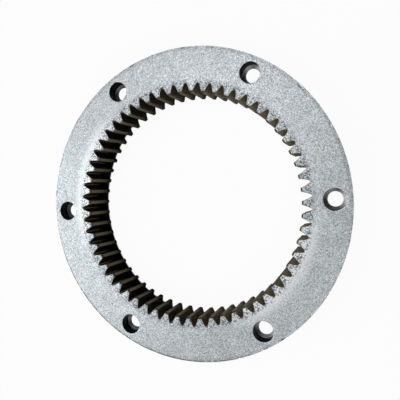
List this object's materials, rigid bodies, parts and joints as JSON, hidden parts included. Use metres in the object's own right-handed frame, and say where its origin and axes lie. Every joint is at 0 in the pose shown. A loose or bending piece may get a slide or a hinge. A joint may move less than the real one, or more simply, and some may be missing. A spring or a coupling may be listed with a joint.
{
  "type": "internal ring gear",
  "caption": "Flanged ring gear with straight internal involute teeth, a short spigot behind the flange and recessed bolt holes.",
  "frame": {"origin": "on the gear's axis, in the plane of the spigot's end face, on which the ring lies", "axes": "+Z along the gear's axis, from the spigot's end towards the flange's front face; +X through the first bolt hole"},
  "size_m": [0.2, 0.2, 0.025],
  "materials": {
    "ring_steel": "blasted and bright zinc-plated flange, machined teeth left dark"
  },
  "bodies": {
    "root": {"ring_gear": "ring_steel"}
  },
  "joints": []
}
